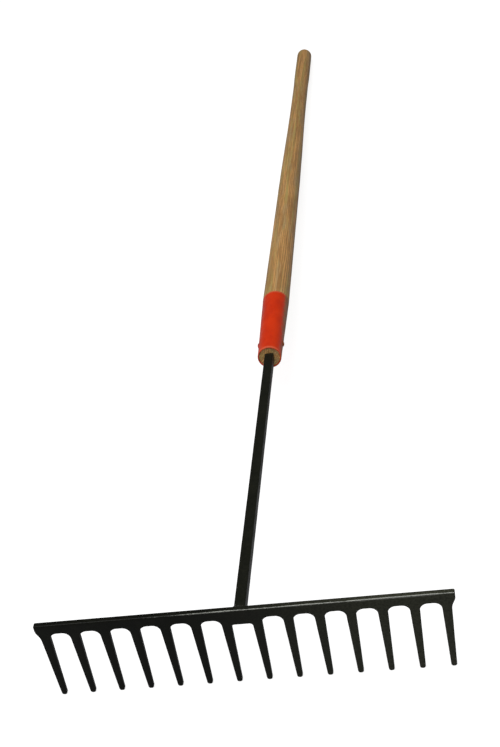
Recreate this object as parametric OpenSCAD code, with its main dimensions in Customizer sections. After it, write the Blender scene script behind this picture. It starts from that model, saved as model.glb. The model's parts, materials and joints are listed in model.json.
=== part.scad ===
// Level-head garden rake: a forged comb of tines butt-welded to a square steel
// shank, whose tang is driven into a turned wooden handle inside a steel ferrule.
// Millimetres. The rake lies at rest on its tine tips and its butt, both on z = 0.
// +X runs along the head, +Y runs from the head to the butt, +Z is up.
// The origin is the middle of the rake's footprint on the ground.

/* [Head] */
// Number of tines, always even so that the shank meets the middle gap
tine_count = 14; // [6:2:18]
// Distance from one tine's axis to the next
tine_pitch = 28; // [24:0.5:40]
// Front top edge of the head down to the tine tips
tine_drop = 88.5; // [60:0.5:130]
// Width of a tine where it leaves the web
tine_root_width = 9.2; // [7:0.1:10]
// Width of a tine at its rounded tip
tine_tip_width = 5; // [4:0.1:6.5]
// Thickness of a tine at its rounded tip
tine_tip_thickness = 4.2; // [3:0.1:5]
// Lean of the tine tips towards the handle, in degrees
tine_lean = 2; // [0:0.1:8]
// Height of the web that joins the tines
web_height = 11; // [9:0.5:18]
// Thickness of the web, front to back
web_thickness = 5.8; // [5:0.1:9]
// Extra depth of the web in the middle gap, behind which the shank is welded
boss_drop = 6.5; // [5:0.5:12]
// Radius of the arch corners between two tines
arch_radius = 7; // [3:0.5:7.5]
// Radius of the corners in the middle gap
boss_radius = 3; // [1:0.5:5]
// Web beyond the outer side of each end tine
end_overhang = 3.5; // [2.5:0.1:12]
// Top edge down to where the ends of the web start to turn inwards
end_depth = 7; // [4:0.5:8]
// Radius of that turn
end_radius = 4; // [1:0.5:5]
// Top edge down to where the sloping end runs out inside the end tine
slope_depth = 18; // [15:0.5:24]
// Radius of the web's front top ridge
ridge_radius = 1.2; // [0.5:0.1:2]

/* [Shank] */
// Side of the square shank
shank_side = 10.4; // [8:0.1:13]
// Top of the shank below the head's top edge
shank_inset = 1.2; // [0:0.1:2]
// Front of the head to the mouth of the ferrule, along the handle
shank_reach = 455; // [250:5:700]
// Length of the tapered tang inside the wood
tang_length = 130; // [60:5:220]
// Side of the square tang at its far end
tang_tip_side = 6; // [5:0.1:8]
// Height and width of the weld bead round the shank's foot
bead_radius = 1.6; // [1:0.1:3]

/* [Handle] */
// Length of the handle with its ferrule
handle_length = 1190; // [900:5:1600]
// Diameter at the mouth of the ferrule
nose_diameter = 28.4; // [26:0.1:32]
// Diameter where the ferrule ends, the thickest place
shoulder_diameter = 33.5; // [32.5:0.1:38]
// Diameter where the long straight taper ends
belly_diameter = 31.7; // [28:0.1:32]
// Mouth of the ferrule to the end of the straight taper
belly_station = 470; // [300:5:580]
// Diameter of the waist
waist_diameter = 26.2; // [22:0.1:27]
// Length of the waist
waist_length = 60; // [20:5:120]
// End of the waist to the end of the butt
waist_to_end = 215; // [170:5:260]
// Diameter of the cylinder at the butt
butt_diameter = 27.6; // [27:0.1:34]
// Length of that cylinder, up to the rounded end
butt_land = 110; // [40:5:130]
// Radius of the rounded end's edge
butt_radius = 12; // [5:0.5:13]

/* [Ferrule] */
// Length of the ferrule
ferrule_length = 140; // [80:5:200]
// Wall of the ferrule
ferrule_wall = 1.2; // [0.8:0.1:2]
// Mouth of the ferrule to the end of the wood inside it
wood_recess = 1; // [0.5:0.5:4]
// Diameter of the cross rivet
rivet_diameter = 4; // [3:0.1:4.5]
// Mouth of the ferrule to the rivet
rivet_station = 30; // [15:1:45]
// Diameter of a rivet head
rivet_head_diameter = 7.6; // [6.5:0.1:9]
// Height of a rivet head above the ferrule
rivet_head_height = 1.5; // [0.8:0.1:2.5]

/* [Fits] */
// Gap between the ferrule and the wood
ferrule_gap = 0.05; // [0.02:0.01:0.3]
// Gap between the tang and its hole in the wood
tang_gap = 0.05; // [0.02:0.01:0.3]
// Gap between the end of the ferrule and the shoulder of the wood
shoulder_gap = 0.2; // [0.05:0.05:1]
// Radial gap between the rivet and its holes
rivet_gap = 0.05; // [0.02:0.01:0.3]
// Gap between a rivet head and the ferrule
head_gap = 0.02; // [0.01:0.01:0.1]

/* [Hidden] */
$fn = 96;

// Steps in each eased stretch of the handle's outline
curve_steps = 12;
// How far a cut runs past what it cuts, and one joined shape into the next
overlap = 1;
// How far a straight side and a round that blends with it cross each other
crossing = 0.01;
// Thickness of the weld bead at its toe
bead_toe = 0.2;
// Room past the end of the tang in its hole
tang_room = 2;

// Head
head_length = (tine_count - 1) * tine_pitch + tine_root_width + 2 * end_overhang;
first_tine_x = -(tine_count - 1) / 2 * tine_pitch;
middle_gap = tine_count / 2 - 1;
boss_depth = web_height + boss_drop;
root_half = tine_root_width / 2;

// A tine's sides run from its root into the round of its tip
tip_side_radius = tine_tip_width / 2;
tip_side_depth = tine_drop - tip_side_radius;
tip_half = tip_side_radius - crossing;
side_angle = atan((root_half - tip_half) / (tip_side_depth - web_height));

// Its front and back do the same from the bottom of the web
tip_face_radius = tine_tip_thickness / 2;
tip_face_depth = tine_drop - tip_face_radius;

// Shank and tang
shank_axis_z = -shank_inset - shank_side / 2;
tang_start = wood_recess;

// Handle, measured from the mouth of the ferrule
waist_end = handle_length - waist_to_end;
waist_start = waist_end - waist_length;
butt_round_start = handle_length - butt_radius;
butt_land_start = butt_round_start - butt_land;
shoulder_start = ferrule_length + shoulder_gap;

// The ground touches the round of the tine tips and the round of the butt
tip_y = web_thickness / 2 * cos(tine_lean) + tip_face_depth * sin(tine_lean);
tip_z = web_thickness / 2 * sin(tine_lean) - tip_face_depth * cos(tine_lean);
butt_y = shank_reach + butt_round_start;
butt_z = shank_axis_z - butt_diameter / 2 + butt_radius;
tip_to_butt = norm([butt_y - tip_y, butt_z - tip_z]);
rest_angle = atan2(butt_z - tip_z, butt_y - tip_y)
    - asin((butt_radius - tip_face_radius) / tip_to_butt);
rest_lift = tip_face_radius + tip_y * sin(rest_angle) - tip_z * cos(rest_angle);
rest_shift = (shank_reach + handle_length) / 2 * cos(rest_angle);

// Angle of a line from a point half_width off the axis to the side of a round
// of this radius, centred on the axis a run further on
function touch_angle(half_width, run, radius) =
    atan(half_width / run) - asin(radius / norm([half_width, run]));

// Half width of a tine at a depth below the head's top edge
function tine_half(depth) = root_half - tan(side_angle) * (depth - web_height);

// Value between a and b at the share t of the way
function mix(a, b, t) = a + (b - a) * t;

// Points from [radius, station] a to b along half a cosine wave
function eased(a, b) = [
    for (i = [0:curve_steps])
        [mix(a[0], b[0], (1 - cos(180 * i / curve_steps)) / 2),
         mix(a[1], b[1], i / curve_steps)]
];

// Outer radius of the ferrule's cone at a station
function nose_radius(station) =
    mix(nose_diameter, shoulder_diameter, station / ferrule_length) / 2;

// Radius of the wood's seat inside the ferrule at a station
function seat_radius(station) = nose_radius(station) - ferrule_wall - ferrule_gap;

// Puts the rake down on its tine tips and its butt, its footprint's middle at the origin
module at_rest() {
    translate([0, -rest_shift, rest_lift])
        rotate([-rest_angle, 0, 0])
            children();
}

// The comb's own frame: front face on y = 0, top edge on z = 0, tines straight down
module head_frame() {
    rotate([tine_lean, 0, 0])
        children();
}

// The handle's own frame: Z runs along its axis from the mouth of the ferrule
module handle_frame() {
    translate([0, shank_reach, shank_axis_z])
        rotate([-90, 0, 0])
            children();
}

// One tine seen from the front, from inside the web to its rounded tip
module tine_outline() {
    start_depth = end_depth - overlap;
    polygon([
        [-tine_half(start_depth), -start_depth],
        [-tip_half, -tip_side_depth],
        [tip_half, -tip_side_depth],
        [tine_half(start_depth), -start_depth]
    ]);
    translate([0, -tip_side_depth])
        circle(r = tip_side_radius);
}

// Fillet under the web, at a depth, against the right-hand side of a tine on x = 0
module arch_fillet(depth, radius) {
    centre_x = tine_half(depth + radius) + (radius - crossing) / cos(side_angle);
    difference() {
        polygon([
            [0, overlap - depth],
            [0, -depth - radius],
            [centre_x, -depth - radius],
            [centre_x, overlap - depth]
        ]);
        translate([centre_x, -depth - radius])
            circle(r = radius);
    }
}

// Fillets in both corners of the gap between a tine on x = 0 and the next
module gap_fillets(depth, radius) {
    arch_fillet(depth, radius);
    translate([tine_pitch, 0])
        mirror([1, 0])
            arch_fillet(depth, radius);
}

// The web seen from the front, without its sloping ends
module web_outline() {
    translate([-head_length / 2, -end_depth])
        square([head_length, end_depth]);
    translate([first_tine_x, -web_height])
        square([-2 * first_tine_x, web_height]);
}

// The sloping end of the web outside an end tine on x = 0
module end_slope() {
    centre_x = root_half + end_overhang - end_radius;
    run_out_x = tine_half(slope_depth) - overlap;
    side_radius = end_radius - crossing;
    turn = touch_angle(run_out_x - centre_x, slope_depth - end_depth, side_radius);
    polygon([
        [overlap, overlap / 2 - end_depth],
        [overlap, -slope_depth],
        [run_out_x, -slope_depth],
        [centre_x + side_radius * cos(turn), side_radius * sin(turn) - end_depth],
        [centre_x, -end_depth],
        [centre_x, overlap / 2 - end_depth]
    ]);
    translate([centre_x, -end_depth])
        circle(r = end_radius);
}

// The head seen from the front
module head_outline() {
    web_outline();
    for (i = [0:tine_count - 1])
        translate([first_tine_x + i * tine_pitch, 0])
            tine_outline();
    for (i = [0:tine_count - 2])
        translate([first_tine_x + i * tine_pitch, 0])
            if (i == middle_gap) {
                translate([0, -boss_depth])
                    square([tine_pitch, boss_depth - web_height + overlap]);
                gap_fillets(boss_depth, boss_radius);
            } else {
                gap_fillets(web_height, arch_radius);
            }
    for (side = [0, 1])
        mirror([side, 0])
            translate([-first_tine_x, 0])
                end_slope();
}

// The head seen from the side: its thickness, front ridge and tapered tines
module head_profile() {
    middle = web_thickness / 2;
    face_half = tip_face_radius - crossing;
    translate([ridge_radius, -ridge_radius])
        circle(r = ridge_radius);
    polygon([
        [ridge_radius, 0],
        [ridge_radius, -ridge_radius],
        [0, -ridge_radius],
        [0, -web_height],
        [middle - face_half, -tip_face_depth],
        [middle + face_half, -tip_face_depth],
        [web_thickness, -web_height],
        [web_thickness, 0]
    ]);
    translate([middle, -tip_face_depth])
        circle(r = tip_face_radius);
}

// The comb in its own frame
module comb() {
    intersection() {
        translate([0, web_thickness + overlap, 0])
            rotate([90, 0, 0])
                linear_extrude(height = web_thickness + 2 * overlap)
                    head_outline();
        rotate([90, 0, 90])
            linear_extrude(height = head_length + 2 * overlap, center = true)
                head_profile();
    }
}

// The room that the comb's web and boss take up, in the comb's frame
module comb_room() {
    translate([-head_length / 2, -web_thickness, -tine_drop])
        cube([head_length, 2 * web_thickness, tine_drop]);
}

// Square bar along the handle's axis, in the handle's frame
module square_bar(side, start, length) {
    translate([-side / 2, -side / 2, start])
        cube([side, side, length]);
}

// Square taper along the handle's axis, in the handle's frame
module square_taper(start_side, end_side, start, length) {
    intersection_for (turn = [0, 90])
        rotate([90, 0, turn])
            linear_extrude(height = start_side + end_side, center = true)
                polygon([
                    [-start_side / 2, start],
                    [start_side / 2, start],
                    [end_side / 2, start + length],
                    [-end_side / 2, start + length]
                ]);
}

// Hole for the cross rivet, in the handle's frame
module rivet_hole() {
    translate([0, 0, rivet_station])
        rotate([0, 90, 0])
            cylinder(d = rivet_diameter + 2 * rivet_gap, h = 2 * shoulder_diameter, center = true);
}

// The forged comb: web, middle boss and tines
module rake_head() {
    color([0.10, 0.11, 0.10])
        at_rest()
            head_frame()
                comb();
}

// Square shank, cut to the back of the comb, with its tang inside the wood
module shank() {
    color([0.13, 0.14, 0.13])
        at_rest()
            difference() {
                handle_frame()
                    difference() {
                        union() {
                            square_bar(shank_side, -shank_reach, shank_reach + tang_start);
                            square_taper(shank_side, tang_tip_side, tang_start, tang_length);
                        }
                        rivet_hole();
                    }
                head_frame()
                    comb_room();
            }
}

// Weld bead all round the shank's foot, its crest on the back of the comb
module weld_bead() {
    crest = web_thickness - shank_reach;
    crest_side = shank_side + 2 * bead_radius;
    toe_side = shank_side + 2 * bead_toe;
    color([0.16, 0.17, 0.16])
        at_rest()
            difference() {
                handle_frame()
                    difference() {
                        union() {
                            square_taper(toe_side, crest_side, crest - bead_radius, bead_radius);
                            square_taper(crest_side, toe_side, crest, bead_radius);
                        }
                        square_bar(shank_side, crest - shank_side, 2 * shank_side);
                    }
                head_frame()
                    comb_room();
            }
}

// Turned wood: seat for the ferrule, shoulder, taper, waist and rounded butt
module handle() {
    butt_flat = butt_diameter / 2 - butt_radius;
    color([0.66, 0.50, 0.32])
        at_rest()
            handle_frame()
                difference() {
                    rotate_extrude() {
                        polygon(concat(
                            [[0, wood_recess],
                             [seat_radius(wood_recess), wood_recess],
                             [seat_radius(shoulder_start), shoulder_start],
                             [shoulder_diameter / 2, shoulder_start]],
                            eased([belly_diameter / 2, belly_station],
                                  [waist_diameter / 2, waist_start]),
                            eased([waist_diameter / 2, waist_end],
                                  [butt_diameter / 2, butt_land_start]),
                            [[butt_diameter / 2, butt_round_start],
                             [0, butt_round_start]]
                        ));
                        translate([0, butt_round_start - overlap])
                            square([butt_flat, butt_radius + overlap]);
                        intersection() {
                            translate([butt_flat, butt_round_start])
                                circle(r = butt_radius);
                            translate([butt_flat, butt_round_start])
                                square(butt_radius);
                        }
                    }
                    square_taper(shank_side + 2 * tang_gap, tang_tip_side + 2 * tang_gap,
                                 tang_start, tang_length);
                    square_bar(tang_tip_side + 2 * tang_gap, tang_start + tang_length - overlap,
                               overlap + tang_room);
                    rivet_hole();
                }
}

// Steel ferrule: a conical tube flush with the wood's outline
module ferrule() {
    color([0.80, 0.20, 0.10])
        at_rest()
            handle_frame()
                difference() {
                    rotate_extrude()
                        polygon([
                            [nose_radius(0) - ferrule_wall, 0],
                            [nose_radius(0), 0],
                            [nose_radius(ferrule_length), ferrule_length],
                            [nose_radius(ferrule_length) - ferrule_wall, ferrule_length]
                        ]);
                    rivet_hole();
                }
}

// Half of the cross rivet's outline: its pin and, past the ferrule, one domed head
module rivet_outline() {
    seat = nose_radius(rivet_station + rivet_head_diameter / 2) + head_gap;
    head_half = rivet_head_diameter / 2;
    dome_radius = (pow(head_half, 2) + pow(rivet_head_height, 2)) / (2 * rivet_head_height);
    square([rivet_diameter / 2, seat + overlap / 2]);
    intersection() {
        translate([0, seat + rivet_head_height - dome_radius])
            circle(r = dome_radius);
        translate([0, seat])
            square([head_half, rivet_head_height]);
    }
}

// Cross rivet through the ferrule, the wood and the tang, headed on both sides
module rivet() {
    color([0.70, 0.22, 0.14])
        at_rest()
            handle_frame()
                translate([0, 0, rivet_station])
                    rotate([0, 90, 0])
                        rotate_extrude() {
                            rivet_outline();
                            mirror([0, 1])
                                rivet_outline();
                        }
}

rake_head();
shank();
weld_bead();
handle();
ferrule();
rivet();
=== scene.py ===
"""A level-head garden rake on a plain studio floor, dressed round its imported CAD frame."""

import json
import logging
import math
from dataclasses import dataclass
from enum import Enum
from typing import Any, Callable

import bmesh
import bpy
from bmesh.types import BMEdge, BMFace, BMLayerItem, BMVert, BMesh
from bpy.types import Material, Node, NodeSocket, NodeTree, Object
from mathutils import Matrix, Vector, noise


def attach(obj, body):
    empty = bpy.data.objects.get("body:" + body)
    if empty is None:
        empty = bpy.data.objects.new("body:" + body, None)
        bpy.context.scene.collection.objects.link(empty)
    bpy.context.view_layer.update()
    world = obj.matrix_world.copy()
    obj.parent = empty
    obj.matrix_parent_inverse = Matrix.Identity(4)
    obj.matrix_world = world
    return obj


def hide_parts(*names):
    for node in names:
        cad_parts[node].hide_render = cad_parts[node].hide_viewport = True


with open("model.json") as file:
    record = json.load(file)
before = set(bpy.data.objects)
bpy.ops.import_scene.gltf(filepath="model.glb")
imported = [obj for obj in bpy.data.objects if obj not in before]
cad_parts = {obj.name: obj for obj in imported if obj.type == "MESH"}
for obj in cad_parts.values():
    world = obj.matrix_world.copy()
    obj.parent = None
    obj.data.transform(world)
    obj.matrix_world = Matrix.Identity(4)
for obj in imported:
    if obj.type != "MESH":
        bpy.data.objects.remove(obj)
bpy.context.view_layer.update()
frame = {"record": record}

LOG = logging.getLogger("rake")
Colour = tuple[float, float, float]
Geometry = list[BMVert | BMEdge | BMFace]
Sockets = dict[str, Any]
Outline = list[tuple[float, float]]

# The inputs' kinds in the shared node groups
FLOAT = "NodeSocketFloat"
COLOUR = "NodeSocketColor"

# A millimetre in metres; then millimetres: points this near stand level, points this
# near become one, points this near a cut lie on it. Last, the bend in radians below
# which an edge is straight, and in degrees above which one stays crisp.
MM = 0.001
NEAR = 0.01
MERGE = 0.0005
CUT = 0.001
STRAIGHT = 0.002
CREASE = 38.0


class Slot(Enum):
    """The record's material slots."""

    BLACK_ENAMEL = "black_enamel"
    WELD_ENAMEL = "weld_enamel"
    LACQUERED_WOOD = "lacquered_wood"
    RED_PAINT = "red_paint"
    RIVET_PAINT = "rivet_paint"


class Mark(Enum):
    """The surface marks that a mesh carries for its finish, as attributes on its points."""

    EDGE = "edge_wear"
    RIDGE = "ridge_wear_and_highlight"


# ---- The rake's own axes ----


@dataclass(frozen=True)
class RakeAxes:
    """Where the head and the handle lie, in millimetres from the clamp at the butt.

    Attributes:
        clamp_station: From the ferrule's mouth to the middle of the clamp.
        shank_reach: From the front of the head to the ferrule's mouth.
        shank_drop: From the head's top edge down to the shank's axis.
        tine_lean: Lean of the comb towards the handle, in degrees.
    """

    clamp_station: float = 1123.0
    shank_reach: float = 455.0
    shank_drop: float = 6.4
    tine_lean: float = 2.0

    def tool(self) -> Matrix:
        """The frame on the front ridge: +Y along the handle, +Z up from the head.

        Returns:
            Its matrix, from millimetres to the scene's metres.
        """
        clamp = next(m for m in frame["record"]["mounts"] if m["kind"] == "pin")
        along = Vector(clamp["axis"]).normalized()
        up = Vector((1, 0, 0)).cross(along)
        back = along * (self.clamp_station + self.shank_reach) * MM
        origin = Vector(clamp["pos_m"]) - back + up * self.shank_drop * MM
        turned = Matrix((Vector((1, 0, 0)), along, up)).transposed().to_4x4()
        return Matrix.Translation(origin) @ turned @ Matrix.Scale(MM, 4)

    def head(self) -> Matrix:
        """The comb's frame: front face on y = 0, top edge on z = 0, tines down."""
        return self.tool() @ Matrix.Rotation(math.radians(self.tine_lean), 4, "X")

    def handle(self) -> Matrix:
        """The handle's frame: +Z along its axis from the ferrule's mouth."""
        mouth = Matrix.Translation((0, self.shank_reach, -self.shank_drop))
        return self.tool() @ mouth @ Matrix.Rotation(math.radians(-90), 4, "X")


AXES = RakeAxes()

# Sizes that several parts share, in millimetres
WEB_THICKNESS = 5.8
SHANK_SIDE = 10.4


# ---- Mesh work shared by the parts ----


def mix(a: float, b: float, share: float) -> float:
    """The value at a share of the way from a to b."""
    return a + (b - a) * share


def smooth(low: float, high: float, value: float) -> float:
    """How far value has come from low to high, eased, from 0 to 1."""
    t = min(1.0, max(0.0, (value - low) / (high - low)))
    return t * t * (3 - 2 * t)


def arc(turn: float, count: int) -> Outline:
    """Sine and cosine of the angles from 0 to a turn in radians, in count even steps."""
    return [(math.sin(turn * i / count), math.cos(turn * i / count)) for i in range(count + 1)]


def uneven(place: Vector, wave: float, seed: float) -> float:
    """A smooth unevenness from about -1 to 1, of this wavelength, at a place."""
    return noise.noise(place / wave + Vector((seed, -seed, seed * 0.5)))


def spun(profile: Outline, steps: int) -> BMesh:
    """Turns a chain of points round Z, as a lathe does.

    Args:
        profile: The outline as radius and height, from one end to the other.
        steps: How many flats the round has.

    Returns:
        A closed or open surface, its doubles merged and its normals outward.
    """
    bm = bmesh.new()
    chain = [bm.verts.new((radius, 0, height)) for radius, height in profile]
    edges = [bm.edges.new(pair) for pair in zip(chain, chain[1:])]
    bmesh.ops.spin(bm, geom=chain + edges, cent=(0, 0, 0), axis=(0, 0, 1), dvec=(0, 0, 0),
                   angle=math.tau, steps=steps, use_merge=True, use_normal_flip=False,
                   use_duplicate=False)
    bmesh.ops.remove_doubles(bm, verts=bm.verts, dist=MERGE)
    bmesh.ops.recalc_face_normals(bm, faces=bm.faces)
    return bm


def everything(bm: BMesh) -> Geometry:
    """All points, edges and faces of a mesh."""
    return bm.verts[:] + bm.edges[:] + bm.faces[:]


def draw_out(bm: BMesh, edges: list[BMEdge]) -> tuple[list[BMVert], list[BMEdge]]:
    """Draws new faces out from edges, still without length.

    Args:
        bm: The mesh.
        edges: The edges to draw out.

    Returns:
        The new points, and the new edges that lie wholly between them.
    """
    out = bmesh.ops.extrude_edge_only(bm, edges=edges)["geom"]
    verts = [g for g in out if isinstance(g, BMVert)]
    return verts, [g for g in out if isinstance(g, BMEdge)
                   and all(v in verts for v in g.verts)]


def round_off(bm: BMesh, geom: Geometry, reach: float, segments: int,
              affect: str = "VERTICES") -> None:
    """Rounds corners or edges.

    Args:
        bm: The mesh.
        geom: The corners' points, or the edges.
        reach: How far the rounding reaches from each.
        segments: Flats in one rounding.
        affect: "VERTICES" for corners, "EDGES" for edges.
    """
    bmesh.ops.bevel(bm, geom=geom, offset=reach, offset_type="OFFSET", segments=segments,
                    profile=0.5, affect=affect, clamp_overlap=False, material=-1)


def new_mark(bm: BMesh, mark: Mark) -> BMLayerItem:
    """A new layer on the mesh's points for one surface mark, 0 everywhere."""
    return bm.verts.layers.float.new(mark.value)


def slice_up(bm: BMesh, axis: int, marks: list[float]) -> None:
    """Cuts every face along planes square to one axis, and keeps both sides.

    Args:
        bm: The mesh.
        axis: 0 for X, 1 for Y, 2 for Z.
        marks: Where the planes stand on that axis.
    """
    normal = Vector((0, 0, 0))
    normal[axis] = 1.0
    for mark in marks:
        bmesh.ops.bisect_plane(bm, geom=everything(bm), dist=CUT, plane_co=normal * mark,
                               plane_no=normal)


def mark_edges(bm: BMesh, spread: float = 0.22) -> None:
    """Marks rounded edges, where the surface faces between the mesh's own axes.

    Args:
        bm: A boxy mesh, still square to its axes.
        spread: How far a normal leans from an axis where the mark is full.
    """
    bm.normal_update()
    layer = new_mark(bm, Mark.EDGE)
    for vert in bm.verts:
        lean = 1 - max(abs(c) for c in vert.normal)
        vert[layer] = smooth(0.02, spread, lean)


@dataclass(frozen=True)
class Piece:
    """One visible piece of the rake on its way from the bench to the scene.

    Attributes:
        name: The piece's name.
        slot: The record's slot for its finish. Not used.
        nodes: The CAD nodes it stands for.
    """

    name: str
    slot: Slot
    nodes: tuple[str, ...]

    def place(self, bm: BMesh, where: Matrix, finish: Material, crease: float) -> Object:
        """Args:
            bm: The mesh in millimetres, in its own frame. It is freed.
            where: That frame.
            finish: The material it wears.
            crease: Edges sharper than this many degrees stay crisp.

        Returns:
            The new object, riding on the rake's one body.
        """
        bmesh.ops.transform(bm, matrix=where, verts=bm.verts)
        for face in bm.faces:
            face.smooth = True
        mesh = bpy.data.meshes.new(self.name)
        bm.to_mesh(mesh)
        bm.free()
        mesh.set_sharp_from_angle(angle=math.radians(crease))
        mesh.materials.append(finish)
        made = bpy.data.objects.new(self.name, mesh)
        bpy.context.scene.collection.objects.link(made)
        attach(made, "root")
        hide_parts(*self.nodes)
        triangles = sum(len(p.vertices) - 2 for p in mesh.polygons)
        LOG.info("%s: %d triangles", self.name, triangles)
        return made


class Part:
    """A part of the rake that makes one visible piece, in millimetres.

    Attributes:
        piece: The piece.
        crease: Edges sharper than this many degrees stay crisp.
    """

    piece: Piece
    crease: float = CREASE

    def make(self) -> BMesh:
        """The finished mesh, in the part's own frame."""
        raise NotImplementedError

    def bench(self) -> Matrix:
        """The part's own frame: the handle's, unless the part says otherwise."""
        return AXES.handle()

    def build(self, finish: Material) -> Object:
        """Makes the mesh, dresses it and puts it in its place."""
        return self.piece.place(self.make(), self.bench(), finish, self.crease)


# ---- Finishes ----


class Recipe:
    """A shader node tree being filled."""

    def __init__(self, tree: NodeTree) -> None:
        """Starts on an empty tree."""
        self.tree = tree
        tree.nodes.clear()

    def put(self, kind: str, inputs: dict[Any, Any] | None = None, **settings: Any) -> Node:
        """Adds a node.

        Args:
            kind: The node's type.
            inputs: Values or output sockets for its inputs, by name or number.
            **settings: The node's own properties.

        Returns:
            The node.
        """
        node = self.tree.nodes.new(kind)
        for key, value in settings.items():
            setattr(node, key, value)
        for key, value in (inputs or {}).items():
            socket = node.inputs[key]
            if isinstance(value, NodeSocket):
                self.tree.links.new(value, socket)
            else:
                socket.default_value = (*value, 1.0) if socket.type == "RGBA" else value
        return node

    def place(self) -> NodeSocket:
        """The point's place on the rake, in metres."""
        return self.put("ShaderNodeTexCoord").outputs["Object"]

    def turned(self, where: Any, scale: Any, rotation: Any = (0, 0, 0),
               location: Any = (0, 0, 0)) -> NodeSocket:
        """Coordinates stretched, turned and shifted by a Mapping node."""
        inputs = {"Vector": where, "Scale": scale, "Rotation": rotation, "Location": location}
        return self.put("ShaderNodeMapping", inputs).outputs["Vector"]

    def noise(self, where: Any, scale: Any, detail: float = 3.0,
              roughness: float = 0.5) -> NodeSocket:
        """A noise from 0 to 1, of this many waves a metre."""
        inputs = {"Vector": where, "Scale": scale, "Detail": detail, "Roughness": roughness}
        return self.put("ShaderNodeTexNoise", inputs).outputs[0]

    def reckon(self, kind: str, a: Any, b: Any = 0.0) -> NodeSocket:
        """One Math node of this kind."""
        return self.put("ShaderNodeMath", {0: a, 1: b}, operation=kind).outputs[0]

    def times(self, a: Any, b: Any) -> NodeSocket:
        """a times b."""
        return self.reckon("MULTIPLY", a, b)

    def plus(self, a: Any, b: Any) -> NodeSocket:
        """a plus b."""
        return self.reckon("ADD", a, b)

    def minus(self, a: Any, b: Any) -> NodeSocket:
        """a minus b."""
        return self.reckon("SUBTRACT", a, b)

    def step(self, value: Any, low: Any, high: Any, start: Any = 0.0,
             end: Any = 1.0) -> NodeSocket:
        """A smooth step.

        Args:
            value: What is stepped.
            low: Where the step begins.
            high: Where it ends.
            start: The result up to low.
            end: The result from high on.

        Returns:
            The stepped value.
        """
        inputs = {"Value": value, "From Min": low, "From Max": high,
                  "To Min": start, "To Max": end}
        node = self.put("ShaderNodeMapRange", inputs, interpolation_type="SMOOTHSTEP")
        return node.outputs["Result"]

    def tint(self, share: Any, a: Any, b: Any) -> NodeSocket:
        """A colour between a and b."""
        node = self.put("ShaderNodeMix", {0: share, 6: a, 7: b}, data_type="RGBA")
        return node.outputs[2]

    def mark(self, mark: Mark) -> NodeSocket:
        """One of the mesh's own surface marks."""
        return self.put("ShaderNodeAttribute", attribute_name=mark.value).outputs["Fac"]

    def bump(self, height: Any, distance: float) -> NodeSocket:
        """A normal raised by height, as much as distance."""
        inputs = {"Height": height, "Distance": distance, "Strength": 1.0}
        return self.put("ShaderNodeBump", inputs).outputs["Normal"]

    def group(self, tree: NodeTree, inputs: Sockets) -> Node:
        """One of the shared effects, with this material's values."""
        return self.put("ShaderNodeGroup", inputs, node_tree=tree)

    def axis(self, where: Any, name: str) -> NodeSocket:
        """One coordinate of a place or a direction: X, Y or Z."""
        return self.put("ShaderNodeSeparateXYZ", {0: where}).outputs[name]

    def surface(self, inputs: Sockets) -> None:
        """The Principled surface and the material's output."""
        shader = self.put("ShaderNodeBsdfPrincipled", inputs)
        self.put("ShaderNodeOutputMaterial", {"Surface": shader.outputs[0]})


def shared_effect(name: str, inputs: dict[str, tuple[str, Any]], outputs: dict[str, str],
                  fill: Callable[[Recipe, Sockets], Sockets]) -> NodeTree:
    """Builds a node group that several finishes use.

    Args:
        name: The group's name.
        inputs: Each input's kind and starting value.
        outputs: Each output's kind.
        fill: Wires the group: it takes the recipe and the input sockets by name, and
            gives a socket for each output.

    Returns:
        The group's tree.
    """
    tree = bpy.data.node_groups.new(name, "ShaderNodeTree")
    recipe = Recipe(tree)
    for key, (kind, value) in inputs.items():
        socket = tree.interface.new_socket(name=key, in_out="INPUT", socket_type=kind)
        socket.default_value = (*value, 1.0) if kind == COLOUR else value
    for key, kind in outputs.items():
        tree.interface.new_socket(name=key, in_out="OUTPUT", socket_type=kind)
    entry = recipe.put("NodeGroupInput")
    made = fill(recipe, {key: entry.outputs[key] for key in inputs})
    recipe.put("NodeGroupOutput", made)
    return tree


def fill_worn(r: Recipe, given: Sockets) -> Sockets:
    """Breaks a mark up into worn patches: the mark wins where a noise lets it.

    Args:
        r: The group's own tree.
        given: The group's input sockets by name.

    Returns:
        A socket for each output.
    """
    where = r.place()
    broad = r.noise(where, given["Patch"], 2.0, 0.5)
    fine = r.noise(where, r.times(given["Patch"], 9.0), 3.0, 0.65)
    rough = r.plus(r.times(broad, 0.65), r.times(fine, 0.35))
    pull = r.times(given["Mark"], given["Reach"])
    lifted = r.plus(pull, rough)
    bare = r.step(lifted, 1.02, 1.16)
    return {"Bare": r.times(bare, r.step(given["Mark"], 0.02, 0.3))}


def fill_brushed_coat(r: Recipe, given: Sockets) -> Sockets:
    """The skin of dipped or brushed paint: long swells, fine peel and a few pits.

    Args:
        r: The group's own tree.
        given: The group's input sockets by name.

    Returns:
        A socket for each output.
    """
    where = r.place()
    swell = r.noise(where, r.times(given["Scale"], 0.12), 2.0, 0.5)
    peel = r.noise(where, given["Scale"], 2.0, 0.55)
    pits = r.step(r.noise(where, r.times(given["Scale"], 2.2), 2.0, 0.6), 0.68, 0.78)
    height = r.plus(r.times(swell, 1.3), r.times(peel, 0.55))
    height = r.minus(height, r.times(pits, given["Pits"]))
    cloud = r.step(r.noise(where, 55.0, 4.0, 0.6), 0.25, 0.75)
    return {"Height": height, "Cloud": cloud}


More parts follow.
